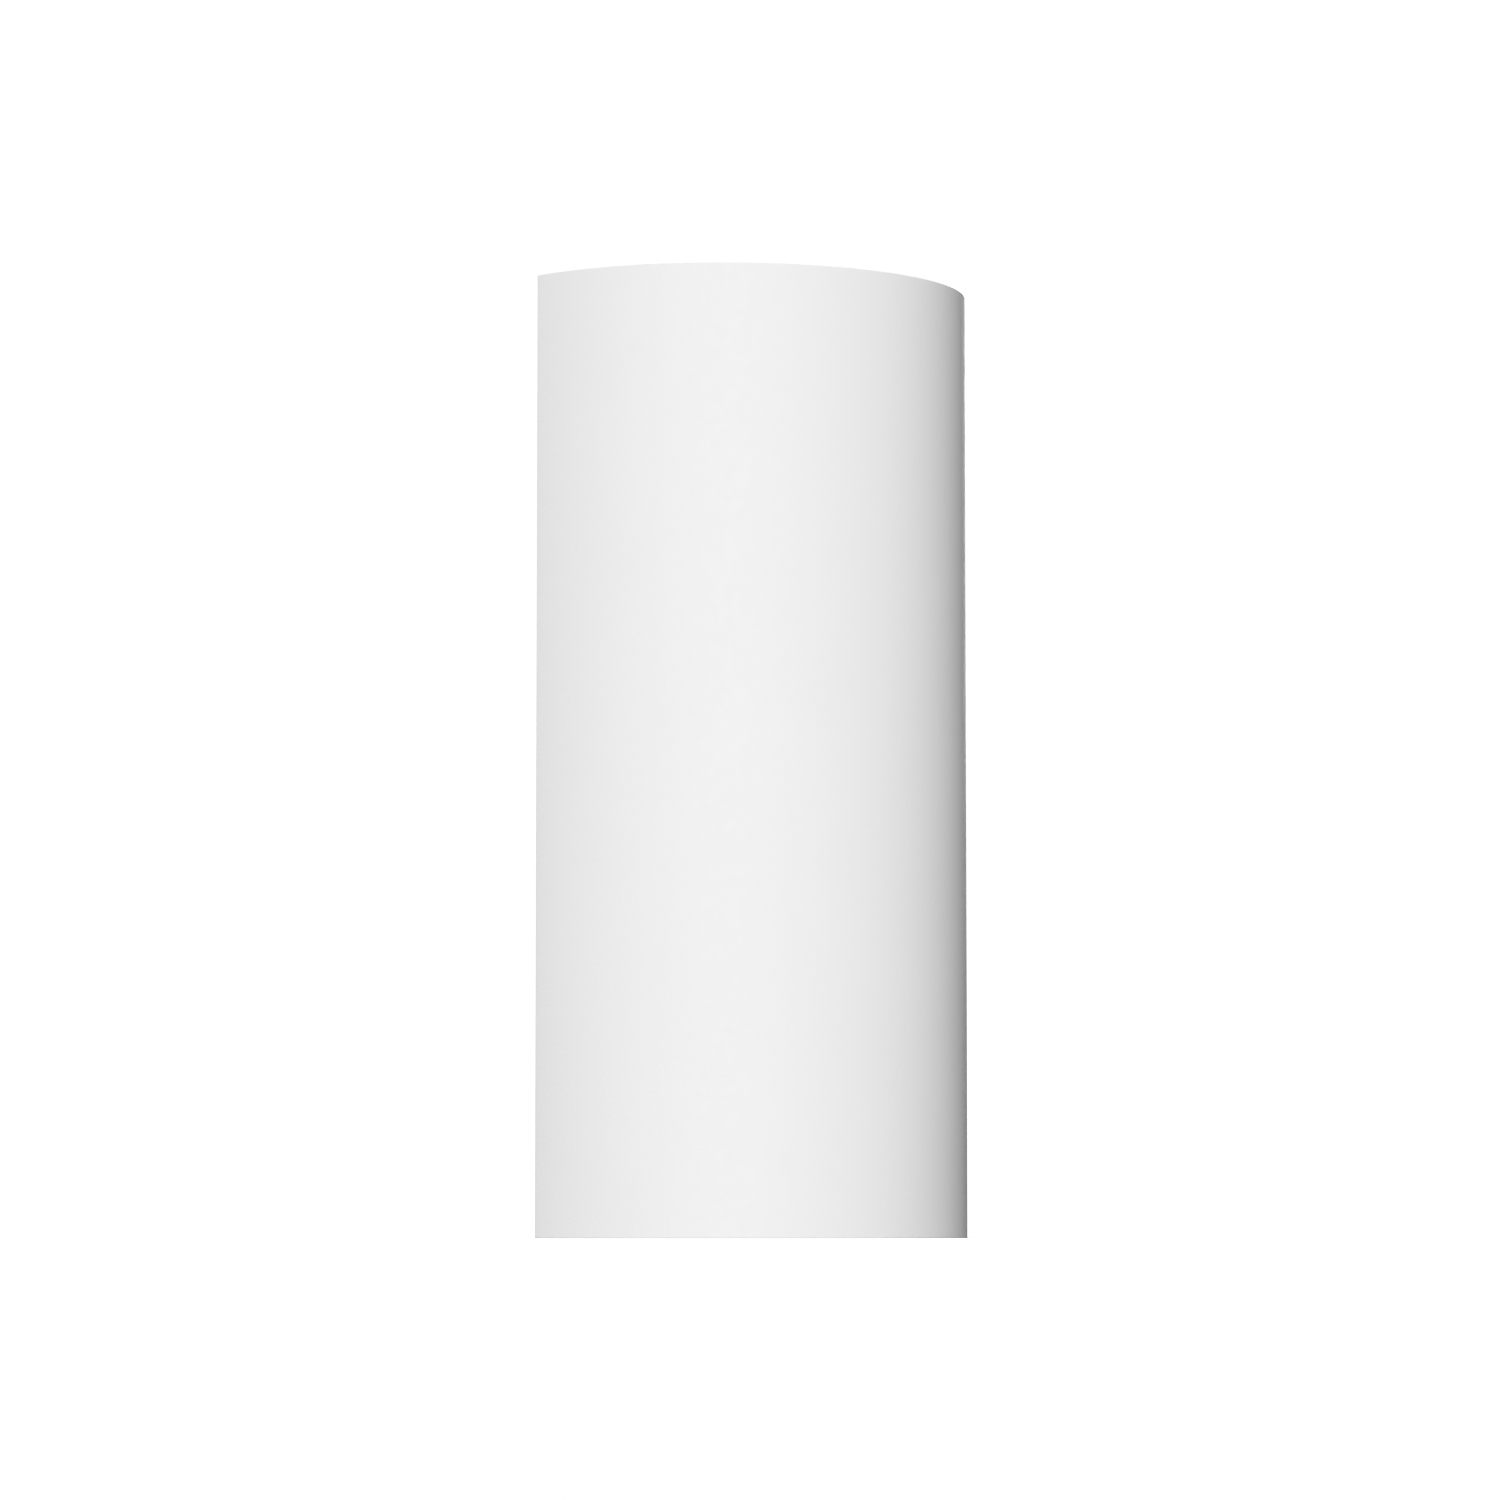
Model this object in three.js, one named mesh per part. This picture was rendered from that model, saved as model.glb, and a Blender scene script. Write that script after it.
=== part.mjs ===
// A plain half-column shaft: one half-round shell of rigid polyurethane foam, moulded in one piece and
// primed white, as sold for fixing to a wall. Its round face is smooth and has no taper, its back is open
// between two narrow wall lands, and both ends are sawn square.
// Millimetres, +Z up. The round face looks along -Y and the wall lands face +Y. The origin is at floor
// level, in the middle of the footprint's width and depth.
import * as THREE from "three";

// Driving dimensions
const OUTER_RADIUS = 110; // half of the width, and the distance that the shaft stands out from the wall
const WALL = 25; // thickness of the moulded shell
const LENGTH = 425; // from sawn end to sawn end
const OUTER_ARRIS_RADIUS = 0.8; // moulded edge between the round face and a wall land
const INNER_ARRIS_RADIUS = 3; // softer moulded edge between a wall land and the hollow
const ROUND_FACE_FACETS = 120; // flats round each half circle, front to back
const ARRIS_FACETS = 4; // flats round each moulded edge

const INNER_RADIUS = OUTER_RADIUS - WALL;
const PRIMER_WHITE = "#eeeeed";
const PRIMER_ROUGHNESS = 0.6;

// Points along a circular arc of the section, both ends included; angles run in degrees from +X.
function arcPoints(centreX, centreY, radius, fromDegrees, toDegrees, facets) {
  return Array.from({ length: facets + 1 }, (_, i) => {
    const angle = THREE.MathUtils.degToRad(fromDegrees + ((toDegrees - fromDegrees) * i) / facets);
    return new THREE.Vector2(centreX + radius * Math.cos(angle), centreY + radius * Math.sin(angle));
  });
}

// The right half of the section, from the middle of the round face, over the wall land, to the middle of
// the hollow. The column's axis is at 0,0, the wall plane is y = 0 and the round face bulges towards -Y.
function rightHalfOfSection() {
  const facets = ROUND_FACE_FACETS / 2;
  // An arris rounding lies inside the outer circle and touches it and the wall plane.
  const outerReach = OUTER_RADIUS - OUTER_ARRIS_RADIUS;
  const outerLean = THREE.MathUtils.radToDeg(Math.asin(OUTER_ARRIS_RADIUS / outerReach));
  const outerX = Math.sqrt(outerReach ** 2 - OUTER_ARRIS_RADIUS ** 2);
  // The one at the hollow lies outside the inner circle and touches it and the wall plane.
  const innerReach = INNER_RADIUS + INNER_ARRIS_RADIUS;
  const innerLean = THREE.MathUtils.radToDeg(Math.asin(INNER_ARRIS_RADIUS / innerReach));
  const innerX = Math.sqrt(innerReach ** 2 - INNER_ARRIS_RADIUS ** 2);
  return [
    ...arcPoints(0, 0, OUTER_RADIUS, -90, -outerLean, facets),
    ...arcPoints(outerX, -OUTER_ARRIS_RADIUS, OUTER_ARRIS_RADIUS, -outerLean, 90, ARRIS_FACETS).slice(1),
    ...arcPoints(innerX, -INNER_ARRIS_RADIUS, INNER_ARRIS_RADIUS, 90, 180 - innerLean, ARRIS_FACETS),
    ...arcPoints(0, 0, INNER_RADIUS, -innerLean, -90, facets).slice(1),
  ];
}

// The whole section: the right half and its mirror image, walked back from the hollow to the round face.
function section() {
  const right = rightHalfOfSection();
  const left = right.slice(1, -1).reverse().map((point) => new THREE.Vector2(-point.x, point.y));
  return new THREE.Shape([...right, ...left]);
}

function halfColumnShaft() {
  const geometry = new THREE.ExtrudeGeometry(section(), { depth: LENGTH, steps: 1, bevelEnabled: false });
  const primer = new THREE.MeshStandardMaterial({
    color: PRIMER_WHITE,
    roughness: PRIMER_ROUGHNESS,
    metalness: 0,
  });
  const shaft = new THREE.Mesh(geometry, primer);
  shaft.name = "half_column_shaft";
  shaft.position.y = OUTER_RADIUS / 2;
  return shaft;
}

const halfColumn = new THREE.Group();
halfColumn.add(halfColumnShaft());

export default halfColumn;
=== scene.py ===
import math

import bpy
import numpy as np
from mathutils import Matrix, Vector


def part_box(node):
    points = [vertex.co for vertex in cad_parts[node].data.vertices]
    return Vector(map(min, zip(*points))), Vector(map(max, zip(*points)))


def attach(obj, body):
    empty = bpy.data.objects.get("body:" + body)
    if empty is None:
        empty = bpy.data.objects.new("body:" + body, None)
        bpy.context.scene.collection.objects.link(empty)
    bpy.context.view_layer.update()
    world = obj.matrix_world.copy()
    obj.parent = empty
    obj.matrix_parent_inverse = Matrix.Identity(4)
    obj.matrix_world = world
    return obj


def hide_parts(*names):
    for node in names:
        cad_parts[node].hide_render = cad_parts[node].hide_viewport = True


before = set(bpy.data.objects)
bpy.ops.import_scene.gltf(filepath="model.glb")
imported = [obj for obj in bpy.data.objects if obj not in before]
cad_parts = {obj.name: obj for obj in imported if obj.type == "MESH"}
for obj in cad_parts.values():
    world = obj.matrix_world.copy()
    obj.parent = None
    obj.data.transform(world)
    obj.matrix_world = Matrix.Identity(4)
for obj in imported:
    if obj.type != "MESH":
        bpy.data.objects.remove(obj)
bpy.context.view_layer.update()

# The shaft is one half-round shell of rigid polyurethane foam, poured in a closed mould. Its round face
# comes out smooth and is primed white, its back is open between two narrow lands that meet the wall, and
# it is sawn square at both ends afterwards.
shaft_low, shaft_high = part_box("half_column_shaft")
OUTER_RADIUS = (shaft_high.x - shaft_low.x) / 2
SHELL_THICKNESS = 0.025
INNER_RADIUS = OUTER_RADIUS - SHELL_THICKNESS
AXIS_Y = shaft_high.y
OUTER_ARRIS = 0.0008
INNER_ARRIS = 0.003
SAWN_ARRIS = 0.0004
ARC_STEPS = 90
ARRIS_STEPS = 6
SAWN_ARRIS_STEPS = 3
RINGS_ALONG = 50
EDGE_LOOP = 0.0005
ACROSS_THE_WALL = np.array([0, 0.02, 0.25, 0.5, 0.75, 0.98, 1])
PRIMED, MOULDED, PLANED, SAWN = range(4)


def unit(angles):
    """Unit vectors in the section's plane at these angles from +X."""
    return np.stack([np.cos(angles), np.sin(angles)], axis=-1)


def edge_of_section(arc_start, arc_radius, arris_radius):
    """Points and outward normals along one edge of the section, from the left land round the front to the
    right land, with the column's axis at 0, 0 and the wall at y = 0. A point is its curve's centre plus the
    curve's radius times its normal: first on the big arc about the axis, then on the small arc of the
    moulded arris, which touches the big arc on one radius and the wall at y = 0. The radius of the hollow's
    arc is negative, as its normals look at the axis. The left half is the right half mirrored."""
    lean = math.asin(arris_radius / abs(arc_radius - arris_radius))
    arc_end = -lean if arc_radius > 0 else math.pi - lean
    on_arc = unit(np.linspace(arc_start, arc_end, ARC_STEPS + 1))
    on_arris = unit(np.linspace(arc_end, math.pi / 2, ARRIS_STEPS + 1)[1:])
    arris_centre = (arc_radius - arris_radius) * on_arc[-1]
    points = np.concatenate([arc_radius * on_arc, arris_centre + arris_radius * on_arris])
    normals = np.concatenate([on_arc, on_arris])
    mirror = np.array([-1, 1])
    return [np.concatenate([half[:0:-1] * mirror, half]) for half in (points, normals)]


def heights_and_insets():
    """Heights of the rings of points along the shaft, and how far the section shrinks at each. At a sawn
    end the edge is a quarter circle: as it turns from the end to the side, the height grows by one less the
    cosine and the inset falls by the sine. Between the ends the rings are evenly spaced and full size."""
    turn = np.linspace(0, math.pi / 2, SAWN_ARRIS_STEPS + 1)
    rise = SAWN_ARRIS * (1 - np.cos(turn))
    inset = SAWN_ARRIS * (1 - np.sin(turn))
    first = SAWN_ARRIS + EDGE_LOOP
    length = shaft_high.z - shaft_low.z
    along = np.linspace(first, length - first, RINGS_ALONG)
    heights = np.concatenate([rise, along, length - rise[::-1]])
    insets = np.concatenate([inset, np.zeros(RINGS_ALONG), inset[::-1]])
    return shaft_low.z + heights, insets


def block_of_points():
    """The shell as a bent block of points, indexed across the wall, round the section and along the shaft.
    A point lies between the section's outer and inner edge, both moved in along their normals by the
    ring's inset."""
    outer, outer_normal = edge_of_section(-math.pi / 2, OUTER_RADIUS, OUTER_ARRIS)
    inner, inner_normal = edge_of_section(math.pi / 2, -INNER_RADIUS, INNER_ARRIS)
    heights, insets = heights_and_insets()
    outer = outer[:, None] - insets[:, None] * outer_normal[:, None]
    inner = inner[:, None] - insets[:, None] * inner_normal[:, None]
    share = ACROSS_THE_WALL[:, None, None, None]
    flat = (1 - share) * outer + share * inner
    block = np.empty(flat.shape[:3] + (3,))
    block[..., 0] = flat[..., 0]
    block[..., 1] = flat[..., 1] + AXIS_Y
    block[..., 2] = heights
    return block


def quads(sheet):
    """Four-cornered faces of a grid of point numbers, each going round from its first row to the next."""
    corners = [sheet[:-1, :-1], sheet[1:, :-1], sheet[1:, 1:], sheet[:-1, 1:]]
    return np.stack(corners, axis=-1).reshape(-1, 4)


def skin_of_block(block):
    """The six outer faces of the block as quads that look outwards, each with the number of its finish, and
    the points that they use. Opposite sheets turn opposite ways, so every second one is reversed."""
    numbers = np.arange(block[..., 0].size).reshape(block.shape[:3])
    sheets = [
        (quads(numbers[0]), PRIMED),
        (quads(numbers[-1])[:, ::-1], MOULDED),
        (quads(numbers[:, -1]), PLANED),
        (quads(numbers[:, 0])[:, ::-1], PLANED),
        (quads(numbers[:, :, 0]), SAWN),
        (quads(numbers[:, :, -1])[:, ::-1], SAWN),
    ]
    faces = np.concatenate([sheet for sheet, finish in sheets])
    finishes = np.concatenate([np.full(len(sheet), finish) for sheet, finish in sheets])
    used, faces = np.unique(faces, return_inverse=True)
    return block.reshape(-1, 3)[used], faces.reshape(-1, 4), finishes


def shaft_mesh():
    """The closed surface of the shell as one smooth-shaded mesh."""
    points, faces, finishes = skin_of_block(block_of_points())
    mesh = bpy.data.meshes.new("primed_shaft")
    mesh.from_pydata(points.tolist(), [], faces.tolist())
    mesh.polygons.foreach_set("use_smooth", np.ones(len(faces), bool))
    mesh.polygons.foreach_set("material_index", finishes.astype(np.int32))
    mesh.validate()
    mesh.update()
    return mesh


# The primer is sprayed on in one coat: neutral white and matt, with clouds too faint to see at arm's
# length and the fine orange peel of a sprayed coat. All sizes and depths of a finish are in metres.
PRIMER_LIGHT = (0.876, 0.876, 0.873, 1)
PRIMER_SHADE = (0.862, 0.862, 0.859, 1)
PRIMER_ROUGHNESS = (0.56, 0.64)
PRIMER_CLOUDS = dict(size=0.045, detail=3)
PRIMER_CLOUD_SHARE = 0.6
MOTTLE = dict(size=0.004, detail=3)
PRIMER_MOTTLE_SHARE = 0.4
PEEL = dict(size=0.0018, detail=1)
PEEL_DEPTH = 0.00008
TOOTH = dict(size=0.0004, detail=1)
TOOTH_DEPTH = 0.00001
NOISE_RANGE = (0.3, 0.7)


def put(tree, kind, inputs, **settings):
    """Adds a shader node. An input that is given a socket is linked to it, and any other is set to the
    value."""
    made = tree.nodes.new(kind)
    for name, value in settings.items():
        setattr(made, name, value)
    for name, value in inputs.items():
        if isinstance(value, bpy.types.NodeSocket):
            tree.links.new(value, made.inputs[name])
        else:
            made.inputs[name].default_value = value
    return made


def reckon(tree, operation, first, second=0.0):
    """One operation on one or two numbers."""
    return put(tree, "ShaderNodeMath", {0: first, 1: second}, operation=operation).outputs[0]


def sum_of(tree, first, *others):
    """The sum of two or more numbers."""
    total = first
    for other in others:
        total = reckon(tree, "ADD", total, other)
    return total


def ramp(tree, value, low, high, to_low=0.0, to_high=1.0):
    """Value carried smoothly from low..high to to_low..to_high, and held at their ends."""
    inputs = {"Value": value, "From Min": low, "From Max": high, "To Min": to_low, "To Max": to_high}
    return put(tree, "ShaderNodeMapRange", inputs, interpolation_type="SMOOTHSTEP").outputs[0]


def weigh(tree, noise, share):
    """Noise, nearly all of which lies in NOISE_RANGE, stretched to run from 0 to share."""
    return ramp(tree, noise, *NOISE_RANGE, 0, share)


def blend(tree, share, first, second):
    """The first colour where share is 0 and the second where it is 1."""
    return put(tree, "ShaderNodeMix", {0: share, 6: first, 7: second}, data_type="RGBA").outputs[2]


def lumps(tree, place, size, detail, run=1.0):
    """Soft noise from 0 to 1 with lumps about size wide, drawn out along the shaft run times."""
    drawn = put(tree, "ShaderNodeMapping", {"Vector": place, "Scale": (1, 1, 1 / run)}).outputs[0]
    inputs = {"Vector": drawn, "Scale": 1 / size, "Detail": detail}
    return put(tree, "ShaderNodeTexNoise", inputs).outputs[0]


def relief(tree, height, depth, below=None):
    """A bump whose height of 1 is depth, on top of another bump if one is given."""
    inputs = {"Height": height, "Distance": depth, "Strength": 1.0}
    if below is not None:
        inputs["Normal"] = below
    return put(tree, "ShaderNodeBump", inputs).outputs[0]


def new_finish(name):
    """A material with a bare Principled shader, and its node tree, shader and Object coordinates."""
    material = bpy.data.materials.new(name)
    material.use_nodes = True
    tree = material.node_tree
    place = put(tree, "ShaderNodeTexCoord", {}).outputs["Object"]
    return material, tree, tree.nodes["Principled BSDF"], place


def finish_with(tree, shader, colour, roughness, normal):
    """Links a finish's colour, roughness and relief to its shader."""
    tree.links.new(colour, shader.inputs["Base Color"])
    tree.links.new(roughness, shader.inputs["Roughness"])
    tree.links.new(normal, shader.inputs["Normal"])


def primer_finish():
    """Sprayed white primer on the round face."""
    material, tree, shader, place = new_finish("white_primer")
    clouds = lumps(tree, place, **PRIMER_CLOUDS)
    mottle = lumps(tree, place, **MOTTLE)
    cloud_tone = weigh(tree, clouds, PRIMER_CLOUD_SHARE)
    mottle_tone = weigh(tree, mottle, PRIMER_MOTTLE_SHARE)
    colour = blend(tree, sum_of(tree, cloud_tone, mottle_tone), PRIMER_LIGHT, PRIMER_SHADE)
    roughness = ramp(tree, mottle, *NOISE_RANGE, *PRIMER_ROUGHNESS)
    peel = relief(tree, lumps(tree, place, **PEEL), PEEL_DEPTH)
    tooth = relief(tree, lumps(tree, place, **TOOTH), TOOTH_DEPTH, peel)
    finish_with(tree, shader, colour, roughness, tooth)
    return material


# The foam itself is a pale cream. Against the mould of the hollow it closes to a skin with a low sheen,
# slow flow clouds and the odd burst bubble, and that skin is left bare. The bubbles' pits are painted
# darker, as shade.
FOAM_LIGHT = (0.805, 0.775, 0.705, 1)
FOAM_SHADE = (0.725, 0.687, 0.607, 1)
SKIN_COLOUR = (0.770, 0.736, 0.662, 1)
SKIN_ROUGHNESS = (0.46, 0.6)
FLOW = dict(size=0.035, detail=4, run=2.5)
FLOW_SHARE = 0.65
SKIN_MOTTLE_SHARE = 0.35
LARGE_BUBBLES = dict(spacing=0.016, largest=0.0011)
SMALL_BUBBLES = dict(spacing=0.005, largest=0.0004)
UNBURST_SHARE = 0.5
BUBBLE_SLOPE = 1 / 3
BUBBLE_PAINTED_SHADE = 0.6
BUBBLE_DEPTH = 0.0004
WAVES = dict(size=0.012, detail=2, run=1.5)
WAVE_DEPTH = 0.00012
GRAIN = dict(size=0.0012, detail=2)
GRAIN_DEPTH = 0.00002


def left_of_one(tree, number):
    """One less the number."""
    return reckon(tree, "SUBTRACT", 1.0, number)


def loose_grid(tree, place, spacing):
    """How far the nearest point of a loose grid is, as a share of its spacing, and that point's chance, a
    number from 0 to 1."""
    grid = put(tree, "ShaderNodeTexVoronoi", {"Vector": place, "Scale": 1 / spacing})
    chance = put(tree, "ShaderNodeSeparateColor", {"Color": grid.outputs["Color"]}).outputs[0]
    return grid.outputs["Distance"], chance


def bubbles(tree, place, spacing, largest):
    """Burst bubbles, up to 1 at their middle and 0 outside. Each point of a loose grid is a bubble's
    middle. Its radius grows with its chance, from nothing at UNBURST_SHARE to the largest at 1, and its
    wall slopes over BUBBLE_SLOPE of the largest radius."""
    distance, chance = loose_grid(tree, place, spacing)
    away = reckon(tree, "MULTIPLY", distance, spacing)
    radius = ramp(tree, chance, UNBURST_SHARE, 1, 0, largest)
    inside = reckon(tree, "SUBTRACT", radius, away)
    return ramp(tree, inside, 0, BUBBLE_SLOPE * largest)


def moulded_finish():
    """The moulded skin inside the hollow: slow flow clouds, fine mottle, a low sheen and burst bubbles
    with painted shade in their pits.
    """
    material, tree, shader, place = new_finish("moulded_foam_skin")
    flow_tone = weigh(tree, lumps(tree, place, **FLOW), FLOW_SHARE)
    mottle_tone = weigh(tree, lumps(tree, place, **MOTTLE), SKIN_MOTTLE_SHARE)
    tone = sum_of(tree, flow_tone, mottle_tone)
    large = bubbles(tree, place, **LARGE_BUBBLES)
    small = bubbles(tree, place, **SMALL_BUBBLES)
    burst = reckon(tree, "MAXIMUM", large, small)
    skin = blend(tree, tone, FOAM_LIGHT, SKIN_COLOUR)
    # The bubble pits are painted darker towards FOAM_SHADE: painted shade in the recesses.
    colour = blend(tree, reckon(tree, "MULTIPLY", burst, BUBBLE_PAINTED_SHADE), skin, FOAM_SHADE)
    roughness = ramp(tree, tone, 0, 1, *SKIN_ROUGHNESS)
    waves = relief(tree, lumps(tree, place, **WAVES), WAVE_DEPTH)
    grain = relief(tree, lumps(tree, place, **GRAIN), GRAIN_DEPTH, waves)
    pits = relief(tree, left_of_one(tree, burst), BUBBLE_DEPTH, grain)
    finish_with(tree, shader, colour, roughness, pits)
    return material


# The two wall lands are planed flat, which cuts the foam's fine cells open, with their pits painted darker
# as shade, and leaves streaks along the shaft. A little of the primer drifts over their outer edge when
# the round face is sprayed.
CELL_SIZE = 0.00045
CELL_DEPTH = 0.00006
PIT_RADII = (0.08, 0.38)
PIT_SLOPE = (-0.15, 0.05)
PLANED_ROUGHNESS = (0.88, 0.66)
PLANED_CLOUDS = dict(size=0.012, detail=4, run=3)
PLANED_CLOUD_SHARE = 0.5
STREAKS = dict(size=0.0011, detail=3, run=40)
STREAK_SHARE = 0.3
STREAK_DEPTH = 0.00003
PLANED_PIT_PAINTED_SHADE = 0.25
MIST_REACH = 0.014
MIST_DROPS = dict(size=0.0009, detail=3)
DROP_WEIGHT = 1.6
MIST_DRIFTS = dict(size=0.02, detail=2, run=2)
MIST_COVER = (0.45, 0.75)
NOISE_MIDDLE = 0.5


def cut_cells(tree, place):
    """Cut foam cells, 0 at the bottom of each small round pit and 1 on the solid foam between them. Each
    point of a loose grid is a pit's middle. The pit's radius grows with its chance across PIT_RADII, and
    its wall slopes across PIT_SLOPE, both as shares of CELL_SIZE."""
    distance, chance = loose_grid(tree, place, CELL_SIZE)
    radius = ramp(tree, chance, 0, 1, *PIT_RADII)
    return ramp(tree, reckon(tree, "SUBTRACT", distance, radius), *PIT_SLOPE)


def planed_finish():
    """Planed foam on the wall lands: cut cells with painted shade in their pits, streaks along the shaft,
    and a mist of primer. The mist's cover falls from 1 at the outer edge to 0 at MIST_REACH, and drops and
    drifts break it up."""
    material, tree, shader, place = new_finish("planed_foam")
    clouds = lumps(tree, place, **PLANED_CLOUDS)
    streaks = lumps(tree, place, **STREAKS)
    cells = cut_cells(tree, place)
    cloud_tone = weigh(tree, clouds, PLANED_CLOUD_SHARE)
    streak_tone = weigh(tree, streaks, STREAK_SHARE)
    # The cut cells' pits are painted darker, as shade in them.
    pit_painted_shade = reckon(tree, "MULTIPLY", left_of_one(tree, cells), PLANED_PIT_PAINTED_SHADE)
    foam = blend(tree, sum_of(tree, cloud_tone, streak_tone, pit_painted_shade), FOAM_LIGHT, FOAM_SHADE)
    side = put(tree, "ShaderNodeSeparateXYZ", {"Vector": place}).outputs["X"]
    inwards = reckon(tree, "SUBTRACT", OUTER_RADIUS, reckon(tree, "ABSOLUTE", side))
    cover = left_of_one(tree, reckon(tree, "DIVIDE", inwards, MIST_REACH))
    drops = reckon(tree, "SUBTRACT", lumps(tree, place, **MIST_DROPS), NOISE_MIDDLE)
    drifts = reckon(tree, "SUBTRACT", lumps(tree, place, **MIST_DRIFTS), NOISE_MIDDLE)
    broken = sum_of(tree, reckon(tree, "MULTIPLY", drops, DROP_WEIGHT), drifts, cover)
    mist = ramp(tree, broken, *MIST_COVER)
    colour = blend(tree, mist, foam, PRIMER_LIGHT)
    roughness = ramp(tree, mist, 0, 1, *PLANED_ROUGHNESS)
    grooves = relief(tree, streaks, STREAK_DEPTH)
    finish_with(tree, shader, colour, roughness, relief(tree, cells, CELL_DEPTH, grooves))
    return material


# The two ends are sawn by a round blade, which leaves faint arcs across the cut cells, whose pits are
# painted darker as shade. The cut also shows the denser and darker foam under the shaft's other faces and
# the thin white edge of the primer.
SAWN_ROUGHNESS = (0.92, 0.7)
SAWN_CLOUDS = dict(size=0.011, detail=4)
SAWN_CLOUD_SHARE = 0.4
CLUSTERS = dict(size=0.0022, detail=2)
CLUSTER_SHARE = 0.25
SAWN_PIT_PAINTED_SHADE = 0.3
SKIN_DEPTH = 0.0022
DENSEST_DEPTH = 0.2 * SKIN_DEPTH
PRIMER_DEPTH = 0.0003
PRIMER_FADE = 1.5 * PRIMER_DEPTH
PRIMER_RAGGED = dict(size=0.0012, detail=2)
BLADE_CENTRE = (0.10, 0.34, 0)
TOOTH_PITCH = 0.0024
BLADE_WANDER = dict(size=0.03, detail=1)
WANDER_ANGLE = 3.0
ARC_FADING = dict(size=0.018, detail=1)
FADING_RANGE = (0.35, 0.65)
FAINTEST_ARC = 0.2
ARC_SHARE = 0.08
ARC_DEPTH = 0.00003


def distance_from(tree, point, centre):
    """How far a point is from a centre."""
    inputs = {0: point, 1: centre}
    return put(tree, "ShaderNodeVectorMath", inputs, operation="DISTANCE").outputs["Value"]


def saw_arcs(tree, place, flat):
    """The arcs left by the saw blade, from -1 to 1: the sine of the distance from the blade's centre, with
    one turn for each tooth pitch, bent by a slow wander of up to WANDER_ANGLE and fading in places."""
    wander = reckon(tree, "MULTIPLY", lumps(tree, place, **BLADE_WANDER), WANDER_ANGLE)
    turns = reckon(tree, "DIVIDE", distance_from(tree, flat, BLADE_CENTRE), TOOTH_PITCH / math.tau)
    arcs = reckon(tree, "SINE", sum_of(tree, turns, wander))
    fading = ramp(tree, lumps(tree, place, **ARC_FADING), *FADING_RANGE, FAINTEST_ARC, 1)
    return reckon(tree, "MULTIPLY", arcs, fading)


def sawn_finish():
    """Sawn foam on the ends. The depth under the other faces is the least of those under the round face,
    the hollow and the lands. The dense foam follows it, and the primer's edge follows the round face."""
    material, tree, shader, place = new_finish("sawn_foam")
    flat = put(tree, "ShaderNodeVectorMath", {0: place, 1: (1, 1, 0)}, operation="MULTIPLY").outputs[0]
    from_axis = distance_from(tree, flat, (0, AXIS_Y, 0))
    back = put(tree, "ShaderNodeSeparateXYZ", {"Vector": place}).outputs["Y"]
    under_face = reckon(tree, "SUBTRACT", OUTER_RADIUS, from_axis)
    under_hollow = reckon(tree, "SUBTRACT", from_axis, INNER_RADIUS)
    under_land = reckon(tree, "SUBTRACT", AXIS_Y, back)
    depth = reckon(tree, "MINIMUM", under_face, reckon(tree, "MINIMUM", under_hollow, under_land))
    dense = ramp(tree, depth, DENSEST_DEPTH, SKIN_DEPTH, 1, 0)
    cells = cut_cells(tree, place)
    arcs = saw_arcs(tree, place, flat)
    cloud_tone = weigh(tree, lumps(tree, place, **SAWN_CLOUDS), SAWN_CLOUD_SHARE)
    cluster_tone = weigh(tree, lumps(tree, place, **CLUSTERS), CLUSTER_SHARE)
    # The cut cells' pits are painted darker, as shade in them.
    pit_painted_shade = reckon(tree, "MULTIPLY", left_of_one(tree, cells), SAWN_PIT_PAINTED_SHADE)
    arc_tone = reckon(tree, "MULTIPLY", arcs, ARC_SHARE)
    tone = sum_of(tree, cloud_tone, cluster_tone, pit_painted_shade, arc_tone)
    foam = blend(tree, dense, blend(tree, tone, FOAM_LIGHT, FOAM_SHADE), SKIN_COLOUR)
    ragged = reckon(tree, "MULTIPLY", lumps(tree, place, **PRIMER_RAGGED), PRIMER_DEPTH)
    primer = ramp(tree, sum_of(tree, under_face, ragged), PRIMER_DEPTH, PRIMER_FADE, 1, 0)
    colour = blend(tree, primer, foam, PRIMER_LIGHT)
    roughness = ramp(tree, dense, 0, 1, *SAWN_ROUGHNESS)
    scored = relief(tree, arcs, ARC_DEPTH)
    finish_with(tree, shader, colour, roughness, relief(tree, cells, CELL_DEPTH, scored))
    return material


# The finished shaft takes its four finishes in the order of their numbers. It is one piece, and stands on
# its lower sawn end.
shaft = bpy.data.objects.new("primed_shaft", shaft_mesh())
bpy.context.collection.objects.link(shaft)
for finish in (primer_finish(), moulded_finish(), planed_finish(), sawn_finish()):
    shaft.data.materials.append(finish)
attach(shaft, "root")
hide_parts("half_column_shaft")

# The studio floor is a plain white board, wide enough to reach the horizon. It shows the shaft's soft
# shadow and throws no light back on it, so that the foot is as evenly lit as the head.
FLOOR_REACH = 60.0
FLOOR_COLOUR = (0.9, 0.9, 0.9, 1)


def floor_board():
    """One square face at the height of the shaft's foot."""
    low, high, level = -FLOOR_REACH, FLOOR_REACH, shaft_low.z
    corners = [(low, low, level), (high, low, level), (high, high, level), (low, high, level)]
    mesh = bpy.data.meshes.new("studio_floor")
    mesh.from_pydata(corners, [], [(0, 1, 2, 3)])
    material = bpy.data.materials.new("floor_board")
    material.use_nodes = True
    shader = material.node_tree.nodes["Principled BSDF"]
    shader.inputs["Base Color"].default_value = FLOOR_COLOUR
    shader.inputs["Roughness"].default_value = 1.0
    shader.inputs["Specular IOR Level"].default_value = 0.0
    mesh.materials.append(material)
    return bpy.data.objects.new("studio_floor", mesh)


floor = floor_board()
bpy.context.collection.objects.link(floor)
floor.visible_diffuse = False
floor.visible_glossy = False

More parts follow.
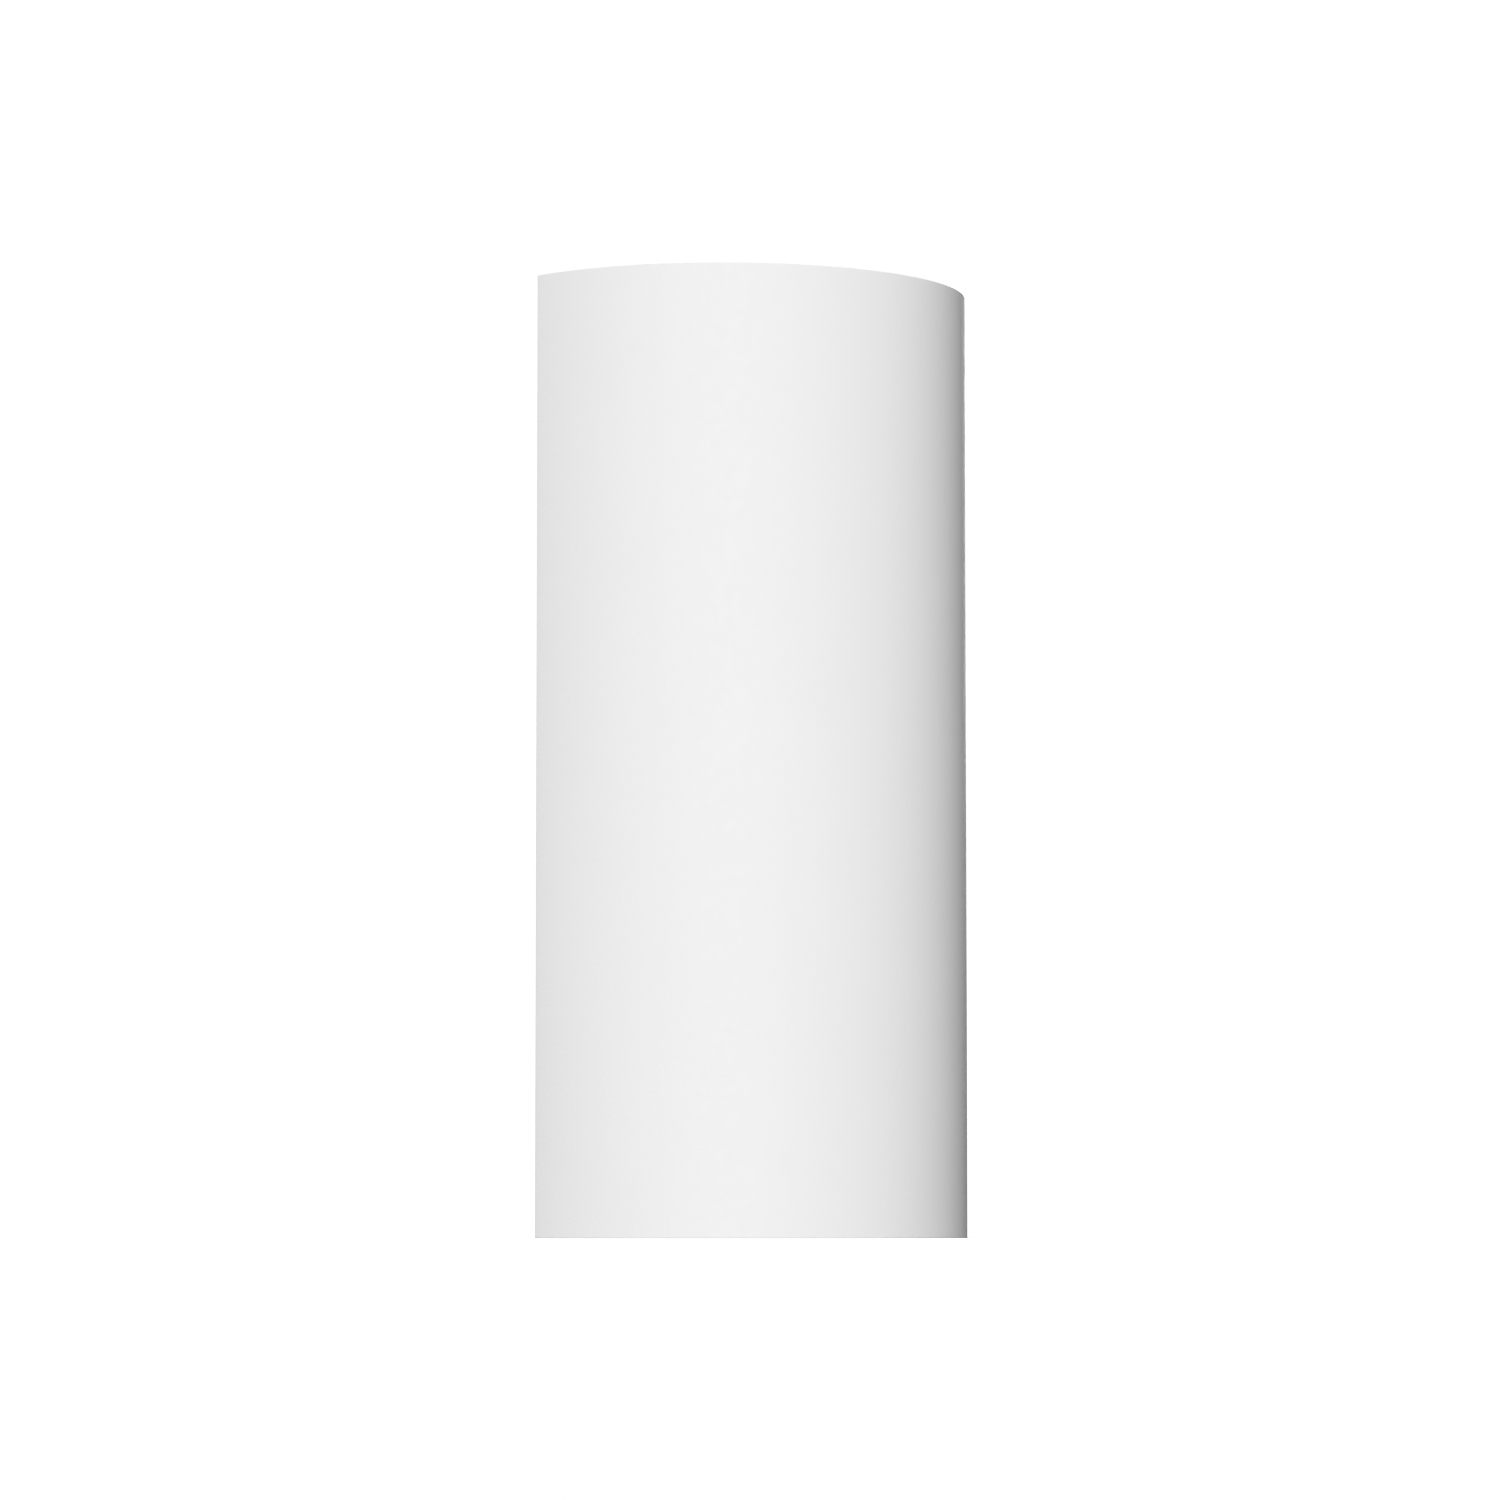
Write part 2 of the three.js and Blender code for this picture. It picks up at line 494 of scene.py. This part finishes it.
# The camera stands to the left of the shaft's front with its lens just above the floor, looks up at about
# the middle of the shaft and is far enough away for its sides to be all but parallel.
CAMERA_AZIMUTH = math.radians(-41.43)
CAMERA_DISTANCE = 2.725
CAMERA_HEIGHT = 0.005
CAMERA_LENS = 145.12
SENSOR = 36.0
AIM_HEIGHT = 0.2199
AIM_TO_THE_RIGHT = 0.0123
towards_camera = Vector((math.sin(CAMERA_AZIMUTH), -math.cos(CAMERA_AZIMUTH), 0))
right_of_camera = Vector((math.cos(CAMERA_AZIMUTH), math.sin(CAMERA_AZIMUTH), 0))
axis_foot = Vector((0, AXIS_Y, shaft_low.z))
camera = bpy.data.objects.new("camera", bpy.data.cameras.new("camera"))
bpy.context.collection.objects.link(camera)
camera.data.lens = CAMERA_LENS
camera.data.sensor_width = SENSOR
camera.location = axis_foot + towards_camera * CAMERA_DISTANCE + Vector((0, 0, CAMERA_HEIGHT))
aim = axis_foot + right_of_camera * AIM_TO_THE_RIGHT + Vector((0, 0, AIM_HEIGHT))
camera.rotation_mode = "QUATERNION"
camera.rotation_quaternion = (aim - camera.location).to_track_quat("-Z", "Y")
bpy.context.scene.camera = camera

# Soft boxes stand round the shaft and light it alone: a wide one behind the camera, a pair square to that
# one for its sides, one behind it for its far right side, and one that faces its open back. A lamp straight
# above lights its sawn head, and a wide lamp high behind the camera lights the floor alone.
SHAFT_MIDDLE = Vector((0, 0, (shaft_low.z + shaft_high.z) / 2))
# Name, degrees round from the camera, degrees up, metres away, width, height and watts.
SOFT_BOXES = [
    ("front_box", 0, 3.5, 5.0, 1.8, 1.0, 282),
    ("left_box", -94, 9, 3.2, 0.8, 1.2, 17),
    ("right_box", 88, 9, 3.2, 0.8, 1.2, 13.2),
    ("back_box", 173, 15, 2.6, 0.75, 1.0, 64),
    ("wall_side_box", -138, 20, 2.6, 2.0, 1.0, 29),
]
# Name, degrees up, degrees of the sky, watts on a square metre, and what it lights.
OVERHEAD_LAMPS = [
    ("head_lamp", 90, 10, 2.1, shaft),
    ("floor_lamp", 62, 50, 7.5, floor),
]


def way_out(azimuth, elevation):
    """The unit vector from the shaft at degrees round from the camera, to its right, and degrees up."""
    turn = CAMERA_AZIMUTH + math.radians(azimuth)
    rise = math.radians(elevation)
    level = math.cos(rise)
    return Vector((math.sin(turn) * level, -math.cos(turn) * level, math.sin(rise)))


def hang(lamp, away, thing):
    """Hangs a lamp so that it shines back along the way out, and keeps its light on one object."""
    hung = bpy.data.objects.new(lamp.name, lamp)
    bpy.context.collection.objects.link(hung)
    hung.rotation_mode = "QUATERNION"
    hung.rotation_quaternion = (-away).to_track_quat("-Z", "Y")
    group = bpy.data.collections.new(lamp.name + "_lights")
    group.objects.link(thing)
    hung.light_linking.receiver_collection = group
    return hung


def soft_box(name, azimuth, elevation, distance, width, height, power):
    """A rectangular soft box, unseen itself, that looks at the shaft's middle."""
    away = way_out(azimuth, elevation)
    lamp = bpy.data.lights.new(name, "AREA")
    lamp.shape = "RECTANGLE"
    lamp.size = width
    lamp.size_y = height
    lamp.energy = power
    box = hang(lamp, away, shaft)
    box.location = SHAFT_MIDDLE + away * distance
    box.visible_camera = False


def overhead_lamp(name, elevation, spread, power, thing):
    """A far lamp straight above or on the camera's side, as wide as spread degrees of the sky."""
    lamp = bpy.data.lights.new(name, "SUN")
    lamp.energy = power
    lamp.angle = math.radians(spread)
    hang(lamp, way_out(0, elevation), thing)


for row in SOFT_BOXES:
    soft_box(*row)
for row in OVERHEAD_LAMPS:
    overhead_lamp(*row)

# The room behind is plain white to the camera, and dim as a light. The picture is toned with a soft
# shoulder, so that the round face keeps its shape in the strong light from the front. WHITE is the
# brightness that comes out as full white.
ROOM_COLOUR = (1, 1, 1, 1)
ROOM_LIGHT = 0.01
SHOULDER_START, WHITE = 0.5, 1.8
SHOULDER_STEPS = 20
world = bpy.data.worlds.new("studio")
bpy.context.scene.world = world
world.use_nodes = True
room = world.node_tree
room.nodes.clear()
seen = put(room, "ShaderNodeBackground", {"Color": ROOM_COLOUR, "Strength": WHITE})
dim = put(room, "ShaderNodeBackground", {"Color": ROOM_COLOUR, "Strength": ROOM_LIGHT})
to_camera = put(room, "ShaderNodeLightPath", {}).outputs["Is Camera Ray"]
either = put(room, "ShaderNodeMixShader", {0: to_camera, 1: dim.outputs[0], 2: seen.outputs[0]})
put(room, "ShaderNodeOutputWorld", {"Surface": either.outputs[0]})
toning = bpy.context.scene.view_settings
toning.view_transform = "Standard"
toning.use_curve_mapping = True
toning.curve_mapping.white_level = (WHITE, WHITE, WHITE)

# Up to the shoulder's start a tone stays as it is. Above it, what the tone is short of full white is what
# was short at the start, times a power of the share of the way to WHITE that is left. The power is the one
# that lets the shoulder set out at the slope of the straight part.
tones = np.linspace(SHOULDER_START, WHITE, SHOULDER_STEPS, endpoint=False)
steepness = (WHITE - SHOULDER_START) / (1 - SHOULDER_START)
short_of_white = (1 - SHOULDER_START) * ((WHITE - tones) / (WHITE - SHOULDER_START)) ** steepness
shoulder = toning.curve_mapping.curves[3].points
for tone, gap in zip(tones, short_of_white):
    shoulder.new(tone / WHITE, 1 - gap)
for point in shoulder:
    point.handle_type = "VECTOR"
toning.curve_mapping.update()
